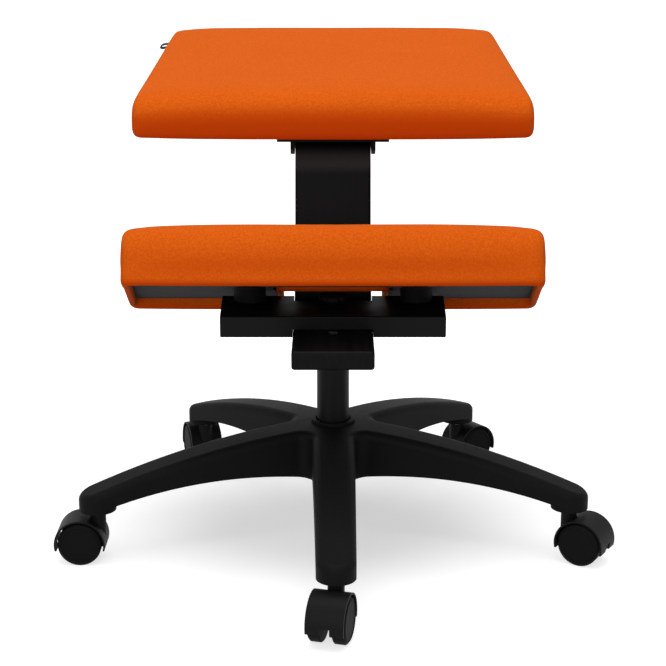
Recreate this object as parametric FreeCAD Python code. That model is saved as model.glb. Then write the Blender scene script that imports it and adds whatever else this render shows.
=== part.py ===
import FreeCAD, Part
import math
import os

# Kneeling chair on a five-star castor base, in millimetres, +Z up, its front towards -Y.
# The origin is on the floor, under the axis of the gas column.

# Fits and gaps
running_fit = 0.05  # radial clearance of a shaft in its bore
slide_gap = 0.1  # clearance under a part that slides on a flat
part_gap = 0.5  # gap between moving parts that never touch
far = 2000.0  # longer than any part, for cutting
near = 0.01  # how close an edge or face lies to the place it is picked by

# Cushions
crown_shares = [0.4, 0.7, 0.9, 1.1]  # cross sections, as shares of the half width
crown_power = 4  # how long the crown stays flat before it falls to the sides
middle_zone = 1.0  # a face centred nearer to the middle plane than this runs right across

# Castors
stem_circle = 285.0  # radius of the circle that the castor stems stand on
castor_headings = [255.0, 330.0, 35.0, 108.0, 180.0]  # way each castor trails, front leg first
castor_trail = 20.0  # from the stem's axis to the wheels' axis
wheel_radius = 25.0
wheel_width = 14.5
wheel_edge = 1.2  # chamfer of the tread
wheel_rim = 3.6  # width of the sloping rim round the wheel's face
wheel_slope = 1.6  # how far that rim falls back
wheel_dish = 0.8  # depth of the dished face inside the rim
wheel_cap = 3.0  # wall that closes the axle's bore
axle_radius = 3.0
web_width = 12.0  # plate between the two wheels
axle_boss = 9.0  # radius of the web round the axle
web_back = 3.0  # web behind that boss, towards the trailing side
hood_gap = 2.2  # from the tread to the hood
hood_wall = 2.0
hood_width = 41.0
hood_lip = 18.0  # height of the hood's lower edge above the floor
hood_notch_width = 11.0
hood_notch_height = 8.0
stem_boss = 9.0  # radius of the hood's boss round the stem
shank_radius = 4.0
shank_length = 18.0
collar_radius = 7.25
collar_height = 4.5
stem_radius = 5.5
socket_wall = 2.0
socket_depth = 20.0
stem_end_gap = 1.0

# Five-star base
leg_count = 5
front_leg = 270.65  # direction of the front leg in plan
leg_root = 30.0  # radius where the leg starts, inside the hub
leg_root_top = 138.3
leg_root_bottom = 77.1
leg_tip_top = 77.3
leg_tip_bottom = 56.2
leg_top_bow = 10.5  # rise of the top curve over its chord
leg_bottom_bow = 19.8
leg_taper = 0.88  # degrees on each side
tip_radius = 21.3
tip_bottom = 62.0  # underside of the boss that holds the stem
tip_boss_rise = 13.0  # how far that boss reaches up into the leg
leg_round = 9.0  # rounding of the upper edges
leg_blend = 14.0  # hollow curve between two legs
leg_wall = 4.0
rib_width = 2.5
rib_places = [110.0, 170.0, 225.0]
hub_radius = 42.0
hub_bottom = 76.0
collar_ring_radius = 25.6
collar_ring_height = 4.0
collar_ring_gap = 1.2  # groove between that ring and the column
collar_ring_round = 1.5

# Gas column
column_radius = 19.0
column_wall = 2.5
column_bottom = 42.0
column_floor = 4.0
bush_length = 57.0
bush_flange = 3.0
tube_radius = 14.0
tube_wall = 2.5
tube_bottom = 60.0
tube_guide = 15.0  # length of the rod's guide at the tube's lower end
tube_plug = 10.0
rod_radius = 4.0
rod_bottom = 36.0
piston_drop = 36.0  # from the tube's top down to the piston's underside
piston_length = 12.0
bearing_radius = 12.0
bearing_height = 6.0
rod_shoulder_radius = 8.0
rod_shoulder_height = 2.0
clip_radius = 9.0
clip_height = 3.4
pin_radius = 4.0
pin_length_inside = 14.0  # how far the release pin reaches into the tube
pin_rise = 4.2  # how far the release pin stands out of the tube

# Laminated arm, as a bent centre line in the YZ plane
arm_width = 89.0
arm_thickness = 21.0
arm_round = 3.5
foot_height = 266.5  # centre of the foot's thickness
foot_front = -185.0
riser_corner = 24.0  # where the foot's and riser's centre lines would meet
riser_lean = 15.2  # degrees from upright, towards the back
riser_length = 192.0
foot_bend = 119.0
top_bend = 40.0
seat_tilt = 8.0  # degrees, front low
seat_leg = 150.0

# Column head, the casting between the gas column and the foot
head_gap = 1.0  # between the column's top and the head when the chair is lowest
head_boss_radius = 25.0
head_boss_length = 25.0
head_room = 13.0  # height of the hollow that the lever turns in
head_half_width = 36.0
head_front = -32.0
head_back = 36.0
head_wall = 5.0
head_plate = 8.0
head_plate_front = -122.0
head_rib_place = 28.0
head_rib_width = 6.0
head_bolt_radius = 3.0
head_bolt_head = 5.0
head_bolt_head_height = 4.0
head_bolt_depth = 14.0  # how far a bolt goes into the foot
head_bolt_side = 31.0
head_bolt_places = [-110.0, -80.0]

# Release lever
lever_radius = 4.0
lever_back = 22.0  # from the column's axis to the lever's axis
lever_reach = 112.0
finger_width = 12.0
finger_height = 5.0
finger_front = -1.0
grip_inner = 92.0
grip_outer = 126.0
grip_back = 58.0
grip_wall = 2.0  # grip material round the lever's rod
blade_height = 5.0
blade_round = 2.0

# Seat
bracket_plate = 3.5
bracket_half_width = 66.0
bracket_front = -8.0  # measured along the seat leg from its corner
bracket_back = 145.0
flange_wall = 5.0
flange_depth = 16.0
flange_front = -11.0
flange_back = 140.0
flange_chamfer = 7.0
bracket_screw_radius = 3.0
bracket_screw_head = 5.5
bracket_screw_places = [50.0, 115.0]
spacer_height = 26.0
spacer_half_width = 62.0
spacer_front = 5.0
spacer_back = 135.0
spacer_round = 6.0
seat_screw_radius = 2.5
seat_screw_head = 4.5
seat_screw_head_height = 3.0
seat_screw_side = 56.5
seat_screw_places = [30.0, 110.0]
seat_screw_bite = 7.0  # how far a screw goes into the board
seat_front = -76.0  # front edge, along the seat leg from its corner
seat_depth = 351.0
seat_front_width = 459.0
seat_back_width = 418.0
seat_side_height = 44.5
seat_crown = 5.5
seat_front_roll = 27.0
seat_back_roll = 17.0
seat_lip = 6.5  # how far the cushion's rim hangs below the lining
seat_rim = 9.0  # width of that rim
seat_board = 10.0
seat_lining = 1.5
seat_edge_round = 10.0
tag_back = 316.0  # from the seat's front edge to the tag's middle
tag_length = 9.0
tag_reach = 12.5
tag_loop = 3.2  # outer radius of the loop's end
tag_thickness = 1.0
tag_height = 31.0

# Knee pad
knee_travel = 60.0
bar_front = -100.0
bar_back = -5.0
bar_front_width = 251.0
bar_back_width = 257.0
bar_height = 24.1
bar_lip = 8.2  # how far the bar reaches down beside the foot
bar_side_gap = 0.5
bar_round = 1.5
bend_gap = 0.8
bridge_back = -29.0  # rear edge of the bar over the foot
glide_height = 1.0
glide_front = -92.0
glide_back = -70.0
glide_half_width = 36.0
post_radius = 18.6
post_side = 95.4
post_place = -26.0
post_height = 15.3
post_round = 1.2
post_screw_radius = 3.0
post_screw_head = 6.0
post_screw_head_height = 4.0
post_screw_length = 52.0
knee_tilt = 20.6  # degrees, front high
knee_front = -126.0  # measured from the posts, along the pad
knee_back = 126.0
knee_front_width = 457.0
knee_back_width = 498.0
knee_side_height = 63.5
knee_crown = 6.5
knee_front_roll = 26.0
knee_back_roll = 20.0
knee_lip = 13.2
knee_rim = 9.0
knee_back_rim = 16.0
knee_board = 12.0
knee_lining = 2.0
knee_edge_round = 10.0
notch_half_width = 59.0
notch_front = -4.0
notch_round = 8.0
notch_rim = 6.0
notch_lip = 5.5  # how far that rim hangs below the lining
notch_edge_round = 5.0

# Clamp of the knee pad
clamp_place = -40.0
clamp_radius = 5.0
slot_gap = 0.75
slot_front_gap = 4.0  # spare length at the slot's front end
nut_half_width = 13.0
nut_half_length = 18.0
nut_height = 5.5
groove_depth = 8.0
groove_gap = 1.0
knob_neck = 5.5
knob_shoulder = 11.0
knob_neck_height = 5.0
knob_radius = 17.0
knob_height = 4.5
knob_lobes = 6
knob_lobe_radius = 4.0

# Values that follow from the ones above
hood_inner = wheel_radius + hood_gap
hood_outer = hood_inner + hood_wall
collar_top = tip_bottom - part_gap
boss_top = collar_top - collar_height
socket_radius = stem_radius + running_fit + socket_wall
leg_end = stem_circle + tip_radius
foot_top = foot_height + arm_thickness / 2
foot_bottom = foot_height - arm_thickness / 2
foot_bend_start = riser_corner - foot_bend * math.tan(math.radians(90 - riser_lean) / 2)
foot_bend_height = foot_height + foot_bend
head_roof = foot_bottom - head_plate
tube_top = head_roof - head_room
head_bottom = tube_top - head_boss_length
column_top = head_bottom - head_gap - bush_flange
piston_bottom = tube_top - piston_drop
pin_bottom = tube_top - pin_length_inside
pin_top = tube_top + pin_rise
lever_height = pin_top + slide_gap + finger_height / 2
bar_under = foot_top + slide_gap + glide_height
bar_bottom = foot_top - bar_lip
bar_top = bar_bottom + bar_height
notch_side = arm_width / 2 + bar_side_gap
slot_half_width = clamp_radius + slot_gap
slot_front = clamp_place - knee_travel - slot_front_gap - clamp_radius
slot_back = clamp_place + slot_half_width
groove_roof = foot_bottom + groove_depth
nut_top = groove_roof - slide_gap


def vec(x, y, z):
    return FreeCAD.Vector(x, y, z)


ORIGIN = vec(0, 0, 0)
ALONG_X = vec(1, 0, 0)
ALONG_Y = vec(0, 1, 0)
UP = vec(0, 0, 1)


def block(x0, x1, y0, y1, z0, z1):
    return Part.makeBox(x1 - x0, y1 - y0, z1 - z0, vec(x0, y0, z0))


def post(radius, z0, z1, x=0.0, y=0.0):
    return Part.makeCylinder(radius, z1 - z0, vec(x, y, z0))


def ring(outer, inner, z0, z1):
    return post(outer, z0, z1).cut(post(inner, z0, z1))


def across_x(radius, x0, x1, y, z):
    return Part.makeCylinder(radius, x1 - x0, vec(x0, y, z), ALONG_X)


def across_y(radius, width, x, z):
    return Part.makeCylinder(radius, width, vec(x, -width / 2, z), ALONG_Y)


def turned(profile):
    """Solid of revolution about Z from (radius, height) points."""
    points = [vec(radius, 0, height) for radius, height in profile]
    face = Part.Face(Part.makePolygon(points + points[:1]))
    return face.revolve(ORIGIN, UP, 360)


def line(start, end):
    return Part.LineSegment(start, end).toShape()


def arc(start, middle, end):
    return Part.Arc(start, middle, end).toShape()


def plate(points, z0, z1):
    """Flat plate from (x, y) corners."""
    corners = [vec(x, y, z0) for x, y in points]
    face = Part.Face(Part.makePolygon(corners + corners[:1]))
    return face.extrude(vec(0, 0, z1 - z0))


def moved(shape, origin, axis=UP, angle=0.0):
    placement = FreeCAD.Placement(origin, FreeCAD.Rotation(axis, angle))
    copy = shape.copy()
    copy.Placement = placement.multiply(copy.Placement)
    return copy


def joined(shapes):
    return shapes[0].multiFuse(shapes[1:]).removeSplitter()


def middle(edge):
    return edge.valueAt((edge.FirstParameter + edge.LastParameter) / 2)


def from_axis(point):
    return math.hypot(point.x, point.y)


def upright_edges(shape):
    return [edge for edge in shape.Edges if abs(edge.Vertexes[0].Z - edge.Vertexes[-1].Z) > near]


def save(name, shape):
    shape.exportStep(os.path.join("parts", name + ".step"))


# Castors, in a frame with the stem on Z and the wheels trailing along +X

def castor_hood():
    band = across_y(hood_outer, hood_width, castor_trail, wheel_radius)
    inside = across_y(hood_inner, hood_width, castor_trail, wheel_radius)
    behind = block(castor_trail + axle_boss + web_back, far, -far, far, -far, far)
    web = across_y(hood_inner + hood_wall / 2, web_width, castor_trail, wheel_radius).cut(behind)
    boss = post(stem_boss, wheel_radius, boss_top)
    below = block(-far, far, -far, far, -far, hood_lip)
    upper = joined([band.cut(inside), web, boss.cut(inside)]).cut(below)
    body = joined([upper, across_y(axle_boss, web_width, castor_trail, wheel_radius)])
    half_notch = hood_notch_width / 2
    notch_top = hood_lip + hood_notch_height
    notch_start = castor_trail + (axle_boss + hood_inner) / 2
    body = body.cut(block(notch_start, far, -half_notch, half_notch, 0, notch_top))
    body = body.cut(post(shank_radius, boss_top - shank_length, boss_top))
    return body.cut(across_y(axle_radius, web_width, castor_trail, wheel_radius))


def castor_stem():
    shank = post(shank_radius, boss_top - shank_length, boss_top)
    collar = post(collar_radius, boss_top, collar_top)
    stem = post(stem_radius, collar_top, tip_bottom + socket_depth - stem_end_gap)
    return joined([shank, collar, stem])


def castor_axle():
    length = web_width + 2 * (wheel_width - wheel_cap)
    return across_y(axle_radius, length, castor_trail, wheel_radius)


def castor_wheel(side):
    """One wheel, side is +1 or -1 along the axle."""
    bore = axle_radius + running_fit
    face = wheel_width - wheel_dish
    rim = wheel_radius - wheel_rim
    shoulder = wheel_width - wheel_slope
    profile = [
        (0, face),
        (rim - wheel_dish, face),
        (rim, wheel_width),
        (wheel_radius - wheel_edge, shoulder),
        (wheel_radius, shoulder - wheel_edge),
        (wheel_radius, wheel_edge),
        (wheel_radius - wheel_edge, 0),
        (bore, 0),
        (bore, wheel_width - wheel_cap),
        (0, wheel_width - wheel_cap),
    ]
    start = vec(castor_trail, side * (web_width / 2 + part_gap), wheel_radius)
    return moved(turned(profile), start, ALONG_X, -90 * side)


def leg_angle(number):
    return front_leg + number * 360.0 / leg_count


def stem_place(number):
    angle = math.radians(leg_angle(number))
    return vec(stem_circle * math.cos(angle), stem_circle * math.sin(angle), 0)


def save_castors():
    pieces = {
        "hood": castor_hood(),
        "stem": castor_stem(),
        "axle": castor_axle(),
        "wheel_left": castor_wheel(1),
        "wheel_right": castor_wheel(-1),
    }
    for number in range(leg_count):
        for piece, shape in pieces.items():
            name = "castor_%d_%s" % (number + 1, piece)
            save(name, moved(shape, stem_place(number), UP, castor_headings[number]))


# Five-star base, one leg along +X

def base_dome(drop):
    """Round body whose top and underside follow the legs' curves, lowered by drop."""
    end = leg_end + leg_round
    middle_radius = (leg_root + end) / 2
    top_middle = (leg_root_top + leg_tip_top) / 2 + leg_top_bow
    bottom_middle = (leg_root_bottom + leg_tip_bottom) / 2 + leg_bottom_bow
    root_low = vec(leg_root, 0, leg_root_bottom)
    root_high = vec(leg_root, 0, leg_root_top)
    tip_low = vec(end, 0, leg_tip_bottom)
    tip_high = vec(end, 0, leg_tip_top)
    axis_low = vec(0, 0, leg_root_bottom)
    axis_high = vec(0, 0, leg_root_top)
    edges = [
        line(axis_low, root_low),
        arc(root_low, vec(middle_radius, 0, bottom_middle), tip_low),
        line(tip_low, tip_high),
        arc(tip_high, vec(middle_radius, 0, top_middle), root_high),
        line(root_high, axis_high),
        line(axis_high, axis_low),
    ]
    dome = Part.Face(Part.Wire(edges)).revolve(ORIGIN, UP, 360)
    return moved(dome, vec(0, 0, -drop))


def leg_half_width(radius):
    taper = math.radians(leg_taper)
    return tip_radius / math.cos(taper) + (stem_circle - radius) * math.tan(taper)


def leg_plan():
    taper = math.radians(leg_taper)
    tip_x = stem_circle + tip_radius * math.sin(taper)
    tip_y = tip_radius * math.cos(taper)
    root_y = leg_half_width(0)
    edges = [
        line(vec(0, -root_y, 0), vec(tip_x, -tip_y, 0)),
        arc(vec(tip_x, -tip_y, 0), vec(leg_end, 0, 0), vec(tip_x, tip_y, 0)),
        line(vec(tip_x, tip_y, 0), vec(0, root_y, 0)),
        line(vec(0, root_y, 0), vec(0, -root_y, 0)),
    ]
    return Part.Face(Part.Wire(edges)).extrude(vec(0, 0, 2 * leg_root_top))


def star_plan():
    """Upright prism on the outline of all legs, with hollow curves between them."""
    legs = [moved(leg_plan(), ORIGIN, UP, leg_angle(number)) for number in range(leg_count)]
    star = joined(legs)
    corners = [edge for edge in upright_edges(star) if from_axis(middle(edge)) < stem_circle / 2]
    return star.makeFillet(leg_blend, corners)


def is_wall(face):
    low_u, high_u, low_v, high_v = face.ParameterRange
    return abs(face.normalAt((low_u + high_u) / 2, (low_v + high_v) / 2).z) < near


def base_skin():
    """Outside of the base, with rounded upper edges."""
    boss = post(tip_radius, tip_bottom, tip_bottom + tip_boss_rise)
    bosses = [moved(boss, stem_place(number)) for number in range(leg_count)]
    body = joined([star_plan().common(base_dome(0))] + bosses)
    body = body.cut(block(-far, far, -far, far, 0, tip_bottom))
    walls = [face for face in body.Faces if is_wall(face)]
    rounds = [max(wall.Edges, key=lambda edge: middle(edge).z) for wall in walls]
    return body.makeFillet(leg_round, rounds)


def leg_hollow():
    """Hollow under one leg, between the ribs."""
    end = stem_circle - tip_radius - leg_wall
    root_y = leg_half_width(leg_root) - leg_wall
    end_y = leg_half_width(end) - leg_wall
    corners = [(leg_root, -root_y), (end, -end_y), (end, end_y), (leg_root, root_y)]
    hollow = plate(corners, 0, leg_root_top).common(base_dome(leg_wall))
    for place in rib_places:
        hollow = hollow.cut(block(place, place + rib_width, -far, far, 0, far))
    return hollow


def five_star_base():
    base = base_skin()
    hollow = leg_hollow().cut(post(hub_radius, 0, leg_root_top))
    for number in range(leg_count):
        base = base.cut(moved(hollow, ORIGIN, UP, leg_angle(number)))
    base = base.fuse(post(hub_radius, hub_bottom, leg_root_bottom + leg_wall))
    base = base.cut(post(column_radius, hub_bottom, leg_root_top))
    for number in range(leg_count):
        place = stem_place(number)
        base = base.cut(post(socket_radius, tip_bottom, tip_bottom + socket_depth, place.x, place.y))
    return base.removeSplitter()


def stem_sockets():
    sleeve = ring(socket_radius, stem_radius + running_fit, tip_bottom, tip_bottom + socket_depth)
    return Part.makeCompound([moved(sleeve, stem_place(number)) for number in range(leg_count)])


# Gas column

def stand_tube():
    inner = column_radius - column_wall
    wall = ring(column_radius, inner, column_bottom, column_top)
    floor = post(column_radius, column_bottom, column_bottom + column_floor)
    tube = joined([wall, floor])
    return tube.cut(post(rod_radius + running_fit, column_bottom, column_bottom + column_floor))


def guide_bush():
    bore = tube_radius + running_fit
    sleeve = ring(column_radius - column_wall, bore, column_top - bush_length, column_top)
    flange = ring(column_radius, bore, column_top, column_top + bush_flange)
    return joined([sleeve, flange])


def hub_collar():
    high = leg_root_top + collar_ring_height
    collar = ring(collar_ring_radius, column_radius + collar_ring_gap, leg_root_top, high)
    rims = [edge for edge in collar.Edges if middle(edge).z > high - near]
    return collar.makeFillet(collar_ring_round, rims)


def thrust_bearing():
    floor = column_bottom + column_floor
    return ring(bearing_radius, rod_radius + running_fit, floor, floor + bearing_height)


def piston_rod():
    seat = column_bottom + column_floor + bearing_height + slide_gap
    rod = post(rod_radius, rod_bottom, piston_bottom + piston_length)
    return joined([rod, post(rod_shoulder_radius, seat, seat + rod_shoulder_height)])


def rod_clip():
    top = column_bottom - slide_gap
    return ring(clip_radius, rod_radius, top - clip_height, top)


def piston():
    bore = tube_radius - tube_wall
    return ring(bore - running_fit, rod_radius, piston_bottom, piston_bottom + piston_length)


def pressure_tube():
    tube = post(tube_radius, tube_bottom, tube_top)
    tube = tube.cut(post(tube_radius - tube_wall, tube_bottom + tube_guide, tube_top - tube_plug))
    tube = tube.cut(post(rod_radius + running_fit, tube_bottom, tube_bottom + tube_guide))
    return tube.cut(post(pin_radius + running_fit, tube_top - tube_plug, tube_top))


def release_pin():
    return post(pin_radius, pin_bottom, pin_top)


# Laminated arm

def heading(start, end):
    return math.atan2(end[1] - start[1], end[0] - start[0])


def beside(point, angle, offset):
    """Point of the YZ plane moved to the left of a heading."""
    return vec(0, point[0] - offset * math.sin(angle), point[1] + offset * math.cos(angle))


def strip_edges(corners, bends, offset):
    """Lines and arcs of a bent line, moved sideways by offset."""
    edges = []
    start = beside(corners[0], heading(corners[0], corners[1]), offset)
    for before, corner, after, bend in zip(corners, corners[1:], corners[2:], bends):
        angle_in = heading(before, corner)
        angle_out = heading(corner, after)
        side = math.copysign(1, angle_out - angle_in)
        reach = bend * math.tan(abs(angle_out - angle_in) / 2)
        entry = (corner[0] - reach * math.cos(angle_in), corner[1] - reach * math.sin(angle_in))
        centre = beside(entry, angle_in, side * bend)
        radius = bend - side * offset
        angles = [angle_in, (angle_in + angle_out) / 2, angle_out]
        bow = [beside((centre.y, centre.z), angle, -side * radius) for angle in angles]
        edges.append(line(start, bow[0]))
        edges.append(arc(*bow))
        start = bow[2]
    edges.append(line(start, beside(corners[-1], heading(corners[-2], corners[-1]), offset)))
    return edges


def arm_corners():
    lean = math.radians(riser_lean)
    tilt = math.radians(seat_tilt)
    top_y = riser_corner + riser_length * math.sin(lean)
    top_z = foot_height + riser_length * math.cos(lean)
    end = (top_y + seat_leg * math.cos(tilt), top_z + seat_leg * math.sin(tilt))
    return [(foot_front, foot_height), (riser_corner, foot_height), (top_y, top_z), end]


def arm_strip():
    corners = arm_corners()
    bends = [foot_bend, top_bend]
    upper = strip_edges(corners, bends, arm_thickness / 2)
    lower = strip_edges(corners, bends, -arm_thickness / 2)
    front = line(lower[0].Vertexes[0].Point, upper[0].Vertexes[0].Point)
    back = line(upper[-1].Vertexes[-1].Point, lower[-1].Vertexes[-1].Point)
    outline = Part.Wire(Part.__sortEdges__(upper + lower + [front, back]))
    face = Part.Face(outline)
    face.translate(vec(-arm_width / 2, 0, 0))
    return face.extrude(vec(arm_width, 0, 0))


def laminated_arm():
    strip = arm_strip()
    sides = [face for face in strip.Faces if abs(face.CenterOfMass.x) > arm_width / 2 - near]
    rounds = [edge for face in sides for edge in face.Edges]
    front = min(strip.Faces, key=lambda face: face.CenterOfMass.y)
    rounds += [edge for edge in front.Edges if abs(middle(edge).x) < near]
    arm = strip.makeFillet(arm_round, rounds)
    slot = joined([
        block(-slot_half_width, slot_half_width, slot_front, slot_back - slot_half_width, 0, far),
        post(slot_half_width, 0, far, 0, slot_front),
        post(slot_half_width, 0, far, 0, slot_back - slot_half_width),
    ])
    foot_zone = block(-far, far, foot_front, 0, foot_bottom, foot_top + arm_thickness)
    half_groove = nut_half_width + groove_gap
    groove_front = slot_front - nut_half_length
    groove_back = clamp_place + nut_half_length + groove_gap
    groove = block(-half_groove, half_groove, groove_front, groove_back, foot_bottom, groove_roof)
    arm = arm.cut(slot.common(foot_zone)).cut(groove)
    for bolt in head_bolt_spots():
        arm = arm.cut(post(head_bolt_radius, foot_bottom, foot_bottom + head_bolt_depth, *bolt))
    for screw in bracket_screws_local():
        arm = arm.cut(on_leg(screw))
    return arm


# Column head and release lever

def head_bolt_spots():
    return [(side * head_bolt_side, place) for side in (-1, 1) for place in head_bolt_places]


def head_rib(side):
    """Rib that fills the wedge between the plate and the arm's bend."""
    low = side * head_rib_place - head_rib_width / 2
    wedge = block(low, low + head_rib_width, foot_bend_start, head_back, foot_bottom, foot_top)
    under = foot_bend + arm_thickness / 2 + part_gap
    bend = across_x(under, -far / 2, far / 2, foot_bend_start, foot_bend_height)
    return wedge.cut(bend)


def column_head():
    half = head_half_width
    housing = block(-half, half, head_front, head_back, tube_top - head_wall, foot_bottom)
    inside = block(-half + head_wall, half - head_wall, head_front + head_wall,
                   head_back - head_wall, tube_top, head_roof)
    plate_back = block(-half, half, head_plate_front, head_back, head_roof, foot_bottom)
    boss = post(head_boss_radius, head_bottom, tube_top)
    body = joined([housing.cut(inside), plate_back, boss, head_rib(1), head_rib(-1)])
    body = body.cut(post(tube_radius, head_bottom, tube_top))
    body = body.cut(across_x(lever_radius + running_fit, -half, half, lever_back, lever_height))
    for bolt in head_bolt_spots():
        body = body.cut(post(head_bolt_radius, head_roof, foot_bottom, *bolt))
    return body


def head_bolts():
    bolts = []
    for x, y in head_bolt_spots():
        head = post(head_bolt_head, head_roof - head_bolt_head_height, head_roof, x, y)
        shank = post(head_bolt_radius, head_roof, foot_bottom + head_bolt_depth, x, y)
        bolts.append(joined([head, shank]))
    return Part.makeCompound(bolts)


def release_lever():
    rod = across_x(lever_radius, -head_half_width, lever_reach, lever_back, lever_height)
    finger = block(-finger_width / 2, finger_width / 2, finger_front, lever_back,
                   lever_height - finger_height / 2, lever_height + finger_height / 2)
    return joined([rod, finger])


def lever_grip():
    outer = lever_radius + grip_wall
    sleeve = across_x(outer, grip_inner, grip_outer, lever_back, lever_height)
    low = lever_height - outer
    blade = block(grip_inner, grip_outer, lever_back, grip_back, low, low + blade_height)
    back = [edge for edge in blade.Edges if middle(edge).y > lever_back + near]
    grip = joined([sleeve, blade.makeFillet(blade_round, back)])
    return grip.cut(across_x(lever_radius, grip_inner, lever_reach, lever_back, lever_height))


# Seat, in a frame with Y along the seat leg from its corner and Z square to it

def on_leg(shape):
    y, z = arm_corners()[2]
    return moved(shape, vec(0, y, z), ALONG_X, seat_tilt)


leg_top = arm_thickness / 2
plate_top = leg_top + bracket_plate
spacer_top = plate_top + spacer_height
seat_low = spacer_top - seat_lip
flange_inner = arm_width / 2 + part_gap
flange_outer = flange_inner + flange_wall
seat_back = seat_front + seat_depth
seat_board_low = spacer_top + seat_lining


def seat_bracket():
    top = block(-bracket_half_width, bracket_half_width, bracket_front, bracket_back, leg_top, plate_top)
    flanges = []
    low = leg_top - flange_depth
    for side in (-1, 1):
        corners = [
            vec(side * flange_inner, flange_front, plate_top),
            vec(side * flange_inner, flange_back, plate_top),
            vec(side * flange_inner, flange_back, low),
            vec(side * flange_inner, flange_front + flange_chamfer, low),
            vec(side * flange_inner, flange_front, low + flange_chamfer),
        ]
        face = Part.Face(Part.makePolygon(corners + corners[:1]))
        flanges.append(face.extrude(vec(side * flange_wall, 0, 0)))
    bracket = joined([top] + flanges)
    for screw in bracket_screws_local():
        bracket = bracket.cut(screw)
    for x, y in seat_screw_spots():
        bracket = bracket.cut(post(seat_screw_radius, leg_top, plate_top, x, y))
    return on_leg(bracket)


def bracket_screws_local():
    """Cross screws through both flanges and the seat leg, with flush conical ends."""
    height = leg_top - flange_depth / 2
    cone = bracket_screw_head - bracket_screw_radius
    screws = []
    for place in bracket_screw_places:
        shank = across_x(bracket_screw_radius, -flange_outer, flange_outer, place, height)
        ends = []
        for side in (-1, 1):
            tip = vec(side * flange_outer, place, height)
            inward = vec(-side, 0, 0)
            ends.append(Part.makeCone(bracket_screw_head, bracket_screw_radius, cone, tip, inward))
        screws.append(joined([shank] + ends))
    return screws


def bracket_screws():
    return Part.makeCompound([on_leg(screw) for screw in bracket_screws_local()])


def seat_screw_spots():
    return [(side * seat_screw_side, place) for side in (-1, 1) for place in seat_screw_places]


def seat_screw(x, y):
    head = post(seat_screw_head, leg_top - seat_screw_head_height, leg_top, x, y)
    shank = post(seat_screw_radius, leg_top, seat_board_low + seat_screw_bite, x, y)
    return joined([head, shank])


def seat_screws_local():
    return [seat_screw(x, y) for x, y in seat_screw_spots()]


def seat_screws():
    return Part.makeCompound([on_leg(screw) for screw in seat_screws_local()])


def seat_spacer():
    spacer = block(-spacer_half_width, spacer_half_width, spacer_front, spacer_back, plate_top, spacer_top)
    spacer = spacer.makeFillet(spacer_round, upright_edges(spacer))
    for screw in seat_screws_local():
        spacer = spacer.cut(screw)
    return on_leg(spacer)


def seat_half_width(y):
    slope = (seat_front_width - seat_back_width) / seat_depth / 2
    return seat_front_width / 2 - (y - seat_front) * slope


def seat_plan(inset, z0, z1):
    front = seat_front + inset
    back = seat_back - inset
    front_x = seat_half_width(front) - inset
    back_x = seat_half_width(back) - inset
    return plate([(-front_x, front), (front_x, front), (back_x, back), (-back_x, back)], z0, z1)


def seat_board_piece():
    board = seat_plan(seat_rim, seat_board_low, seat_board_low + seat_board)
    for screw in seat_screws_local():
        board = board.cut(screw)
    return on_leg(board)


def seat_lining_piece():
    lining = seat_plan(seat_rim, spacer_top, seat_board_low)
    for screw in seat_screws_local():
        lining = lining.cut(screw)
    return on_leg(lining)


def cushion_section(x, front, back, height, front_roll, back_roll):
    """Side outline of a cushion at one place across its width, with rolled upper edges."""
    turn = math.sqrt(0.5)
    front_middle = vec(x, front + front_roll * (1 - turn), height - front_roll * (1 - turn))
    back_middle = vec(x, back - back_roll * (1 - turn), height - back_roll * (1 - turn))
    corners = [
        vec(x, front, 0),
        vec(x, front, height - front_roll),
        vec(x, front + front_roll, height),
        vec(x, back - back_roll, height),
        vec(x, back, height - back_roll),
        vec(x, back, 0),
    ]
    return Part.Wire([
        line(corners[0], corners[1]),
        arc(corners[1], front_middle, corners[2]),
        line(corners[2], corners[3]),
        arc(corners[3], back_middle, corners[4]),
        line(corners[4], corners[5]),
        line(corners[5], corners[0]),
    ])


def cushion_form(front, back, half_width, side_height, crown, front_roll, back_roll):
    """Crowned roll, wider than the cushion, standing on Z = 0."""
    sections = []
    left = [-share for share in reversed(crown_shares)]
    for share in left + [0.0] + crown_shares:
        height = side_height + crown * (1 - share ** crown_power)
        sections.append(cushion_section(share * half_width, front, back, height, front_roll, back_roll))
    return Part.makeLoft(sections, True, False)


def rounded_sides(cushion, radius):
    """Rounds the edges of the two flat sides and of the underside."""
    flat = [face for face in cushion.Faces if abs(face.CenterOfMass.x) > middle_zone]
    under = min(cushion.Faces, key=lambda face: face.CenterOfMass.z)
    edges = [edge for face in flat + [under] for edge in face.Edges]
    return cushion.makeFillet(radius, unique(edges))


def unique(edges):
    kept = []
    for edge in edges:
        if not any(edge.isSame(other) for other in kept):
            kept.append(edge)
    return kept


def seat_cushion():
    form = cushion_form(seat_front, seat_back, seat_front_width / 2, seat_side_height, seat_crown,
                        seat_front_roll, seat_back_roll)
    cushion = form.common(seat_plan(0, 0, 2 * seat_side_height))
    cushion = rounded_sides(cushion, seat_edge_round)
    cushion = moved(cushion, vec(0, 0, seat_low))
    cushion = cushion.cut(seat_plan(seat_rim, seat_low - far, seat_board_low + seat_board))
    return on_leg(cushion)


def tag_form(radius, edge, y, height):
    """Rounded strip that stands out of the seat's left edge, as wide as the tag's tape."""
    end = edge - tag_reach + tag_loop
    start = vec(end, y - tag_length / 2, height)
    tip = Part.makeCylinder(radius, tag_length, start, ALONG_Y)
    straight = block(end, edge + tag_loop, start.y, start.y + tag_length, height - radius, height + radius)
    return joined([tip, straight])


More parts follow.
